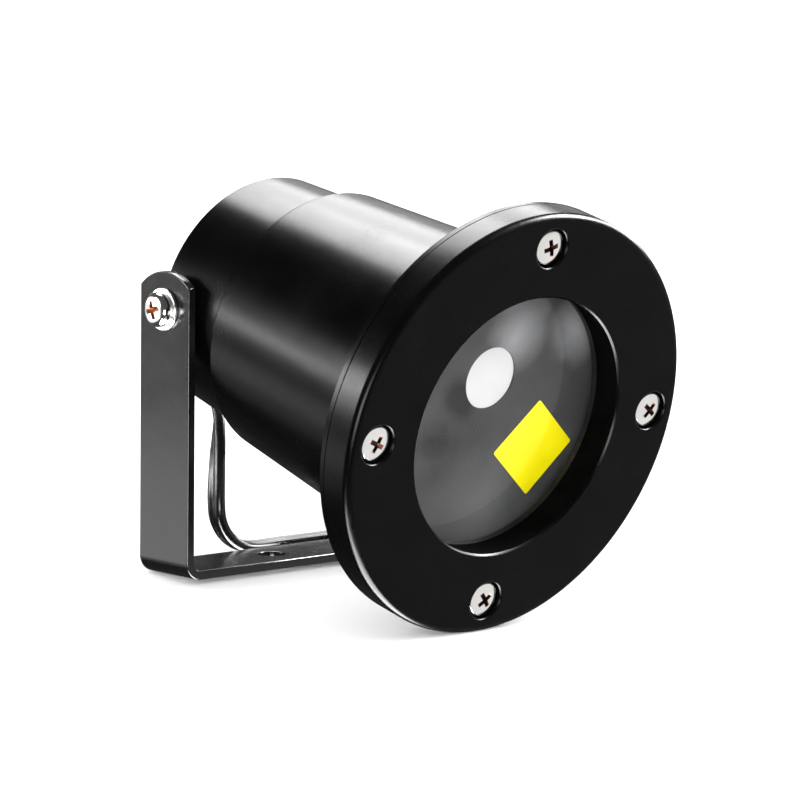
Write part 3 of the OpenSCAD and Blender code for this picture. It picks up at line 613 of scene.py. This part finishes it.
# the cross starts over the head's top, where it is wider, and narrows to its floor; the web narrows less
CROSS_OVER, CROSS_DEPTH = 0.4, 0.6
WIDE_ABOVE, WIDE_BELOW = 1.12, 0.45
WEB_KEPT, WEB_SCALED = 0.55, 0.45


def add_cross(bm, place, size, deep, top):
    """A tapered cross, from a little over the head's top down into it."""
    wing, web = size / 2, size / 8
    loops = []
    for level, grow in ((top + CROSS_OVER, WIDE_ABOVE), (top, 1), (top - deep, WIDE_BELOW)):
        reach, half = wing * grow, web * (WEB_KEPT + WEB_SCALED * grow)
        points = []
        for k in range(4):
            a = Matrix.Rotation(math.pi / 2 * k, 3, "Z")
            points += [a @ Vector((half, half, level)), a @ Vector((half, reach, level)),
                       a @ Vector((-half, reach, level))]
        loops.append([bm.verts.new(place @ p) for p in points])
    for a, b in zip(loops, loops[1:]):
        for j in range(len(a)):
            n = (j + 1) % len(a)
            bm.faces.new((a[j], a[n], b[n], b[j]))
    bm.faces.new(loops[0])
    bm.faces.new(loops[-1][::-1])


def pan_heads(name, node, places, height, length, cross, edge, inside):
    """One mesh for a group of equal screws; Z points out of the head, which stands on z = 0."""
    crown = CROWN * HEAD_R
    top = [(HEAD_R * k, height - crown + math.sqrt(crown**2 - (HEAD_R * k) ** 2)) for k in CROWN_POINTS]
    outline = rounded([
        (0, -length, 0), (SHANK_R - TIP, -length, 0), (SHANK_R, -length + TIP, 0), (SHANK_R, 0, 0),
        (HEAD_R, 0, UNDER_R), (*top[0], edge), *((*point, 0) for point in top[1:]),
    ])
    bm, tool = bmesh.new(), bmesh.new()
    for place in places:
        add_lathe(bm, outline, place, HEAD_SEGMENTS)
        add_cross(tool, place, cross, height * CROSS_DEPTH, height)
    heads = finish_mesh(bm, name)
    dress(heads, STEEL)
    recess = finish_mesh(tool, "recess")
    recess.data.materials.append(inside)
    cut(heads, recess)
    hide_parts(node)
    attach(heads, "head")


# how far each screw's cross is turned, in degrees; the pivot screws go by side
RING_TURNS = (18, 52, 38, 66)
PIVOT_TURNS = {-1: 30, 1: 70}


def spun(degrees):
    return Matrix.Rotation(math.radians(degrees), 4, "Z")


def bezel_screws():
    turned_over = Matrix.Translation((0, 0, BORE_DEPTH)) @ Matrix.Rotation(math.pi, 4, "X")
    places = [screw_place(i) @ turned_over @ spun(turn) for i, turn in enumerate(RING_TURNS)]
    pan_heads("ring_screws", "bezel_screws", places, height=1.9, length=6, cross=4.2, edge=0.5,
              inside=RECESS_SHADE)


ARM_OUT = 31.8
WASHER_R, WASHER_HOLE_R, WASHER_T = 4.75, 2.1, 0.8


def outwards(side, x):
    """The pivot axis on one side, with Z pointing out."""
    facing = Matrix.Rotation(side * math.pi / 2, 4, "Y")
    return IN_HEAD @ TO_METRES @ facing @ Matrix.Translation((0, 0, x))


def pivots():
    places = [outwards(side, ARM_OUT + WASHER_T) @ spun(turn) for side, turn in PIVOT_TURNS.items()]
    pan_heads("pivot_heads", "pivot_screws", places, height=2.8, length=12, cross=4.5, edge=1.4,
              inside=WARM_RECESS_REFLECTION)
    section = rounded([
        (WASHER_HOLE_R, 0, 0.1), (WASHER_R, 0, 0.2),
        (WASHER_R, WASHER_T, 0.25), (WASHER_HOLE_R, WASHER_T, 0.1),
    ])
    bm = bmesh.new()
    for side in PIVOT_TURNS:
        add_lathe(bm, section, outwards(side, ARM_OUT), WASHER_SEGMENTS)
    washers = flat_faced(finish_mesh(bm, "washers"))
    dress(washers, WASHER)
    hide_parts("pivot_washers")
    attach(washers, "head")


front_ring()
bezel_screws()
pivots()
softened("u_bracket", "bent_strip", "bracket", 0.7)
grip = softened("plug_grip", "plug_body", "bracket", 0.25)
sleeve = softened("plug_sleeve", "plug_barrel", "bracket", 0.15)

# the lead: the same route as in the part's source, in mm, with the turn of its width about Z in degrees
LEAD = [
    (0, 46.56, 61.75, 0), (0, 49.52, 62.25, 0), (0, 52.48, 62.76, 0), (0, 55.96, 62.73, 3),
    (0, 59.22, 61.52, 6), (0, 61.86, 59.27, 10), (0, 63.58, 56.24, 14), (0, 64.16, 52.82, 19),
    (0, 63.4, 49.2, 24), (0, 61.2, 43.6, 32), (0.06, 57.6, 34.93, 41), (-1.21, 54.6, 30.88, 50),
    (-3.09, 52, 26.81, 62), (-4.84, 49.9, 22.67, 74), (-6.16, 48.2, 18.43, 82), (-7.08, 46.7, 12.95, 88),
    (-6.19, 46.65, 8.51, 88), (-3.68, 46.49, 4.75, 88), (0.08, 46.27, 2.23, 88), (4.52, 46, 1.35, 88),
    (11.13, 46, 1.35, 90), (17.73, 46, 1.35, 90), (24.33, 46, 1.35, 90), (30.93, 46, 1.35, 90),
    (34.03, 45.59, 1.35, 75), (36.93, 44.39, 1.35, 60), (39.41, 42.49, 1.35, 45), (45, 36.9, 1.35, 45),
    (50.9, 31, 1.35, 45),
]
CORD_W, CORD_T = 5.0, 2.6
# the coil: centre and outer radius in mm, the angle where it starts, then its layers from the floor up
COIL_AT, COIL_R, COIL_FROM = (76, 49), 30.5, 225
LAYERS, LAYER_TURNS = 4, 2
TURN_STEP, LAYER_STEP, REST_Z = 5.5, 3.1, 1.35
CLIMB_TURNS = 0.5
# the coil stops an eighth of a turn early, towards the plug
COIL_TURNS = LAYERS * LAYER_TURNS - 0.125
COIL_RINGS, ROUTE_STEPS = 48, 4
PLUG_X, PLUG_Y, PLUG_Z = 43, 23.5, 5
# points round each wire, and where the valley between the wires starts, in degrees
WIRE_POINTS, VALLEY_AT = 14, 135


def smooth_route(points):
    """Catmull-Rom through the points, as in the part's source."""
    out = []
    last = len(points) - 1
    for i in range(last):
        near = (points[min(max(j, 0), last)] for j in (i - 1, i, i + 1, i + 2))
        a, b, c, d = (np.array(p, float) for p in near)
        for k in range(ROUTE_STEPS):
            t = k / ROUTE_STEPS
            out.append(0.5 * (2 * b + (c - a) * t + (2 * a - 5 * b + 4 * c - d) * t**2
                              + (3 * b - a - 3 * c + d) * t**3))
    out.append(np.array(points[-1], float))
    return out


def climbed(turns):
    """How high the coil has climbed; each layer's climb takes half a turn."""
    total = 0
    for layer in range(1, LAYERS):
        u = min(1, max(0, (turns - layer * LAYER_TURNS + CLIMB_TURNS / 2) / CLIMB_TURNS))
        total += LAYER_STEP * u * u * (3 - 2 * u)
    return total


def spiral(turns):
    """A point of the coil: inwards in one layer, outwards in the next."""
    layer = min(LAYERS - 1, int(turns // LAYER_TURNS))
    done = turns - layer * LAYER_TURNS
    r = COIL_R - TURN_STEP * (done if layer % 2 == 0 else LAYER_TURNS - done)
    degrees = COIL_FROM + 360 * turns
    a = math.radians(degrees)
    x, y = COIL_AT[0] + r * math.cos(a), COIL_AT[1] + r * math.sin(a)
    return np.array((x, y, REST_Z + climbed(turns), degrees))


def whole_route():
    """The lead from the grommet to the plug: x, y, z in mm and the turn of its width in degrees."""
    first = smooth_route(LEAD)
    # half a turn more gives the same flat lead, and its width runs on into the coil without a jump
    for p in first:
        p[3] += 180
    coil = [spiral(i / COIL_RINGS) for i in range(int(COIL_TURNS * COIL_RINGS) + 1)]
    last = coil[-1][3]
    away = np.array((-math.sin(math.radians(last)), math.cos(math.radians(last)), 0, 0))
    coil += [coil[-1] + away * CORD_W * d for d in (0.5, 1)]
    end = coil[-1]
    to_plug = (
        (45.8, 38.6, 10.65), (45, 35.8, 10.4), (44.1, 33.2, 9.5), (43.4, 30.8, 8), (43.1, 28.8, 6.4),
        (PLUG_X, 26.8, PLUG_Z + 0.3), (PLUG_X, PLUG_Y + 1.6, PLUG_Z), (PLUG_X, PLUG_Y + 0.8, PLUG_Z),
        (PLUG_X, PLUG_Y, PLUG_Z),
    )
    tail = smooth_route([end, end - np.array((0, 1, 0, 0)), end - np.array((0, 2.5, 0, 0)),
                         *((*point, last) for point in to_plug)])
    return first + coil + tail[1:]


def lead_outline():
    """Two round wires side by side with a valley between them, width along X."""
    r = CORD_T / 2
    off = (CORD_W - CORD_T) / 2
    arc = [math.radians(a) for a in np.linspace(-VALLEY_AT, VALLEY_AT, WIRE_POINTS)]
    return [(side * (off + r * math.cos(a)), side * r * math.sin(a)) for side in (1, -1) for a in arc]


def sweep(name, route, outline):
    """Carry the outline along the route as one tube with closed ends."""
    bm = bmesh.new()
    rings = []
    for i, p in enumerate(route):
        a, b = route[max(0, i - 1)][:3], route[min(len(route) - 1, i + 1)][:3]
        t = Vector(b - a).normalized()
        turn = math.radians(p[3])
        w = Vector((math.cos(turn), math.sin(turn), 0))
        w = (w - w.dot(t) * t).normalized()
        n = t.cross(w)
        rings.append([bm.verts.new((Vector(p[:3]) + q[0] * w + q[1] * n) * MM) for q in outline])
    m = len(outline)
    for r0, r1 in zip(rings, rings[1:]):
        for j in range(m):
            bm.faces.new((r0[j], r0[(j + 1) % m], r1[(j + 1) % m], r1[j]))
    bm.faces.new(rings[0][::-1])
    bm.faces.new(rings[-1])
    return finish_mesh(bm, name, angle=60)


route = whole_route()
lead = sweep("lead", route, lead_outline())
dress(lead, CORD)
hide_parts("power_cord", "cord_coil", "cord_end")
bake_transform(lead)


# the plain plate in the window, on the panel's face: corners (x, up) in mm
PANEL_DEPTH = 11.05
PLATE_T, PLATE_CORNER_R = 0.045, 0.5
PLATE_CORNERS = ((16.4, 1.0), (5.3, -10.5), (17.8, -21.2), (28.5, -9.5))


def plate(name):
    """A flat plate square to the head's axis."""
    loop = rounded([(x, -up, PLATE_CORNER_R) for x, up in PLATE_CORNERS])
    bm = bmesh.new()
    front, back = ([bm.verts.new((q.x, q.y, z)) for q in loop]
                   for z in (PANEL_DEPTH - PLATE_T, PANEL_DEPTH))
    bm.faces.new(front)
    bm.faces.new(back[::-1])
    for i in range(len(loop)):
        j = (i + 1) % len(loop)
        bm.faces.new((front[i], back[i], back[j], front[j]))
    return finish_mesh(bm, name, ON_AXIS @ TO_METRES, smooth=False)


blank = plate("blank_plate")
dress(blank, LABEL)
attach(blank, "head")
